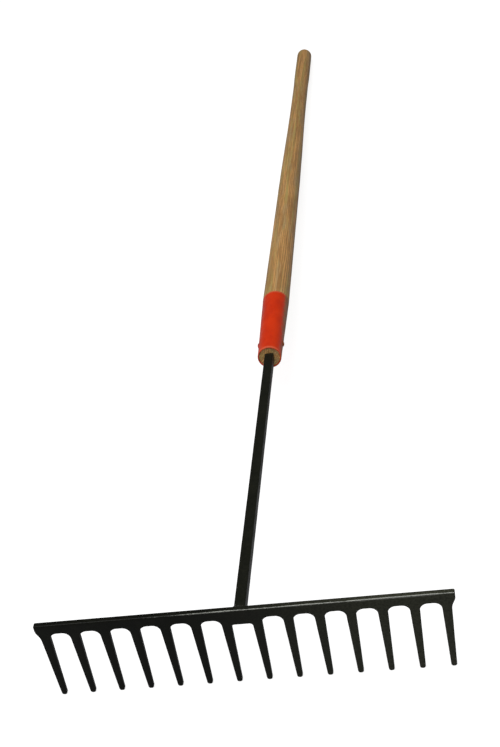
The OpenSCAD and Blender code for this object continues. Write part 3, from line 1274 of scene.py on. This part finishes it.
@dataclass
class RolledFerrule(Part):
    """The conical steel ferrule, rolled from sheet with its seam underneath. Millimetres.

    Attributes:
        mouth: Outer radius at the mouth.
        rear: Outer radius at the rear end.
        length: Length of the ferrule.
        wall: Thickness of the sheet.
        lip: Rounding of both ends' edges.
        rows: Rows of faces along the outside.
        flats: Flats in one round.
        seam: Depth of the seam.
        seam_width: Half the seam's width.
        dent: How far the sheet strays from a true cone.
    """

    mouth: float = 14.2
    rear: float = 16.75
    length: float = 140.0
    wall: float = 1.2
    lip: float = 0.45
    rows: int = 28
    flats: int = 180
    seam: float = 0.32
    seam_width: float = 0.9
    dent: float = 0.10
    piece: Piece = Piece("rolled_ferrule", Slot.RED_PAINT, ("ferrule",))

    def outer(self, station: float) -> float:
        """The cone's outer radius at a station."""
        return mix(self.mouth, self.rear, station / self.length)

    def lip_points(self, station: float, out: float) -> Outline:
        """Points round one end's outer edge, from its end face to the cone.

        Args:
            station: Where the end stands.
            out: 1 for the rear end, -1 for the mouth.

        Returns:
            The points as radius and station.
        """
        return [(self.outer(station) - self.lip * (1 - sin),
                 station - out * self.lip * (1 - cos)) for sin, cos in arc(math.pi / 2, 3)]

    def profile(self) -> Outline:
        """The sheet's closed outline, from the mouth's inner edge round to itself.

        Returns:
            The outline as radius and station.
        """
        points = [(self.mouth - self.wall, 0.0)] + self.lip_points(0.0, -1.0)
        for number in range(1, self.rows):
            station = mix(self.lip, self.length - self.lip, number / self.rows)
            points.append((self.outer(station), station))
        points += reversed(self.lip_points(self.length, 1.0))
        points.append((self.rear - self.wall, self.length))
        points.append((self.outer(self.length / 2) - self.wall, self.length / 2))
        return points + [points[0]]

    def make(self) -> BMesh:
        """Rolls the sheet, presses the seam in and marks the thin-coated edges.

        Returns:
            The ferrule's mesh, in the handle's frame.
        """
        bm = spun(self.profile(), self.flats)
        edge = new_mark(bm, Mark.EDGE)
        for vert in bm.verts:
            station = vert.co.z
            outward = Vector((*vert.co.xy, 0))
            outside = outward.length > self.outer(station) - self.wall / 2
            across = abs(vert.co.x) if vert.co.y > 0 else self.rear
            from_end = min(station, self.length - station)
            vert[edge] = smooth(1.5, 0.25, from_end) if outside else 0.0
            if outside:
                outward.normalize()
                calm = smooth(0.0, 12.0, from_end)
                push = self.dent * calm * (uneven(vert.co, 22.0, 6.0) - 0.5)
                push -= self.seam * smooth(self.seam_width, 0.15, across)
                vert.co += outward * push
        return bm


@dataclass
class CrossRivet(Part):
    """The rivet through ferrule, wood and tang, hammered to a dome at both ends. Millimetres.

    Attributes:
        station: From the ferrule's mouth to the rivet.
        pin: Radius of its pin.
        seat: From the handle's axis to the underside of a head.
        head: Radius of a head.
        height: Height of a head.
        edge: How far a head's edge is undercut.
        peened: Depth of the hammer's unevenness.
        flats: Flats in one round.
    """

    station: float = 30.0
    pin: float = 2.0
    seat: float = 14.83
    head: float = 3.8
    height: float = 1.5
    edge: float = 0.2
    peened: float = 0.07
    flats: int = 48
    piece: Piece = Piece("hammered_rivet", Slot.RIVET_PAINT, ("rivet",))

    def dome(self) -> Outline:
        """One head's outline, from the pin out to its edge and up to its crown.

        Returns:
            The outline as radius and height.
        """
        radius = (self.head ** 2 + self.height ** 2) / (2 * self.height)
        middle = self.seat + self.height - radius
        widest = math.asin(self.head / radius)
        points = [(self.pin, self.seat), (self.head - self.edge, self.seat)]
        points += [(radius * sin, middle + radius * cos) for sin, cos in reversed(arc(widest, 8))]
        return points

    def make(self) -> BMesh:
        """Turns the pin and both heads, then peens the heads.

        Returns:
            The rivet's mesh, in the handle's frame.
        """
        dome = self.dome()
        chain = [(r, -h) for r, h in reversed(dome)] + dome
        bm = spun(chain, self.flats)
        edge = new_mark(bm, Mark.EDGE)
        for vert in bm.verts:
            crown = smooth(self.seat + self.height * 0.35, self.seat + self.height,
                           abs(vert.co.z))
            vert[edge] = crown
            push = self.peened * crown * (uneven(vert.co, 1.6, 2.0) - 0.8)
            vert.co += vert.co.normalized() * push
        bmesh.ops.rotate(bm, verts=bm.verts, cent=(0, 0, 0),
                         matrix=Matrix.Rotation(math.radians(90), 3, "Y"))
        bmesh.ops.translate(bm, verts=bm.verts, vec=(0, 0, self.station))
        return bm


# ---- Studio ----


@dataclass(frozen=True)
class SoftLamp:
    """One large soft lamp.

    Attributes:
        name: The lamp's name.
        place: Where it hangs, in metres.
        aim: The point it faces.
        size: Its width and height.
        power: Its power in watts.
    """

    name: str
    place: tuple[float, float, float]
    aim: tuple[float, float, float]
    size: tuple[float, float]
    power: float

    def hang(self) -> None:
        """Hangs the lamp."""
        light = bpy.data.lights.new(self.name, "AREA")
        light.shape = "RECTANGLE"
        light.size, light.size_y = self.size
        light.energy = self.power
        lamp = bpy.data.objects.new(self.name, light)
        lamp.location = self.place
        facing = Vector(self.aim) - Vector(self.place)
        lamp.rotation_euler = facing.to_track_quat("-Z", "Y").to_euler()
        bpy.context.scene.collection.objects.link(lamp)


@dataclass
class Studio:
    """Pale floor, soft light and the camera.

    Attributes:
        floor_colour: The floor's colour.
        floor_glow: How much the floor is washed out to white, as a light table is.
        floor_half: Half the floor's side, in metres.
        sky: Brightness of the even light from all round.
        sky_colour: Its colour.
        lamps: The soft lamps.
        eye: Where the camera stands, in millimetres from the head's front ridge.
        forward: The way it looks, in the same frame.
        upward: Which way is up in its view, in the same frame.
        lens: Its focal length in millimetres, over a 36 mm sensor.
        shift: The frame's shift, as shares of its long side.
    """

    floor_colour: Colour = (0.42, 0.42, 0.42)
    floor_glow: float = 0.84
    floor_half: float = 14.0
    sky: float = 0.085
    sky_colour: Colour = (0.94, 0.97, 1.0)
    lamps: tuple[SoftLamp, ...] = (
        SoftLamp("overhead", (-0.4, -1.6, 4.2), (0.0, 0.0, 0.0), (4.0, 3.0), 150.0),
        SoftLamp("left_key", (-3.0, -1.8, 2.4), (0.0, -0.1, 0.0), (1.8, 1.8), 8.0),
    )
    eye: tuple[float, float, float] = (201.22, -873.76, 747.50)
    forward: tuple[float, float, float] = (-0.14959, 0.85998, -0.48791)
    upward: tuple[float, float, float] = (0.10959, 0.50484, 0.85623)
    lens: float = 62.51
    shift: tuple[float, float] = (0.00702, -0.01780)

    def lay_floor(self) -> None:
        """Lays the floor, faintly mottled as painted board is."""
        bm = bmesh.new()
        bmesh.ops.create_grid(bm, x_segments=8, y_segments=8, size=self.floor_half)
        mesh = bpy.data.meshes.new("floor")
        bm.to_mesh(mesh)
        bm.free()
        floor = bpy.data.objects.new("floor", mesh)
        bpy.context.scene.collection.objects.link(floor)
        made = bpy.data.materials.new("pale_floor")
        made.use_nodes = True
        r = Recipe(made.node_tree)
        mottle = r.noise(r.place(), 3.0, 3.0, 0.5)
        lighter = tuple(c * 1.03 for c in self.floor_colour)
        seen = r.put("ShaderNodeLightPath").outputs["Is Camera Ray"]
        r.surface({"Base Color": r.tint(mottle, self.floor_colour, lighter),
                   "Roughness": 0.75, "Specular IOR Level": 0.2,
                   "Emission Color": (1.0, 1.0, 1.0),
                   "Emission Strength": r.times(seen, self.floor_glow)})
        mesh.materials.append(made)

    def light(self) -> None:
        """Hangs the lamps and sets the even light from all round."""
        world = bpy.data.worlds.new("studio")
        bpy.context.scene.world = world
        world.use_nodes = True
        r = Recipe(world.node_tree)
        seen = r.put("ShaderNodeLightPath").outputs["Is Camera Ray"]
        background = r.put("ShaderNodeBackground", {
            "Color": self.sky_colour,
            "Strength": r.step(seen, 0.0, 1.0, self.sky, 1.0)})
        r.put("ShaderNodeOutputWorld", {"Surface": background.outputs["Background"]})
        for lamp in self.lamps:
            lamp.hang()

    def set_camera(self) -> None:
        """Stands the camera on the head's side of the rake, looking along the handle."""
        data = bpy.data.cameras.new("camera")
        data.sensor_width = 36.0
        data.lens = self.lens
        data.shift_x, data.shift_y = self.shift
        data.clip_start, data.clip_end = 0.05, 60.0
        camera = bpy.data.objects.new("camera", data)
        tool = AXES.tool()
        back = -(tool.to_3x3() @ Vector(self.forward)).normalized()
        right = (tool.to_3x3() @ Vector(self.upward)).cross(back).normalized()
        turned = Matrix((right, back.cross(right), back)).transposed()
        camera.matrix_world = Matrix.Translation(tool @ Vector(self.eye)) @ turned.to_4x4()
        bpy.context.scene.collection.objects.link(camera)
        bpy.context.scene.camera = camera

    def build(self) -> None:
        """Sets the studio up."""
        bpy.context.scene.view_settings.view_transform = "Standard"
        self.lay_floor()
        self.light()
        self.set_camera()


def main() -> None:
    """Builds the rake part by part, then the studio."""
    logging.basicConfig(level=logging.INFO, format="%(name)s: %(message)s")
    effects = Effects()
    tilt = AXES.handle().to_3x3().col[2].normalized()
    enamel = BlackEnamel().build(effects)
    # The weld's coat is laid bare far more readily: partly wear, partly painted glints on its
    # ripples.
    weld_enamel = BlackEnamel("weld_enamel", warm=(0.03, 0.027, 0.018), reach=0.95,
                              relief=0.0003, gloss=(0.30, 0.46)).build(effects)
    wood = LacqueredWood(math.asin(-tilt.z)).build(effects)
    red = RedPaint().build(effects)
    rivet_red = RedPaint("rivet_paint", reach=0.55).build(effects)
    ForgedComb().build(enamel)
    SquareShank().build(enamel)
    WeldBead().build(weld_enamel)
    TurnedHandle().build(wood)
    RolledFerrule().build(red)
    CrossRivet().build(rivet_red)
    Studio().build()


if __name__ == "__main__":
    main()
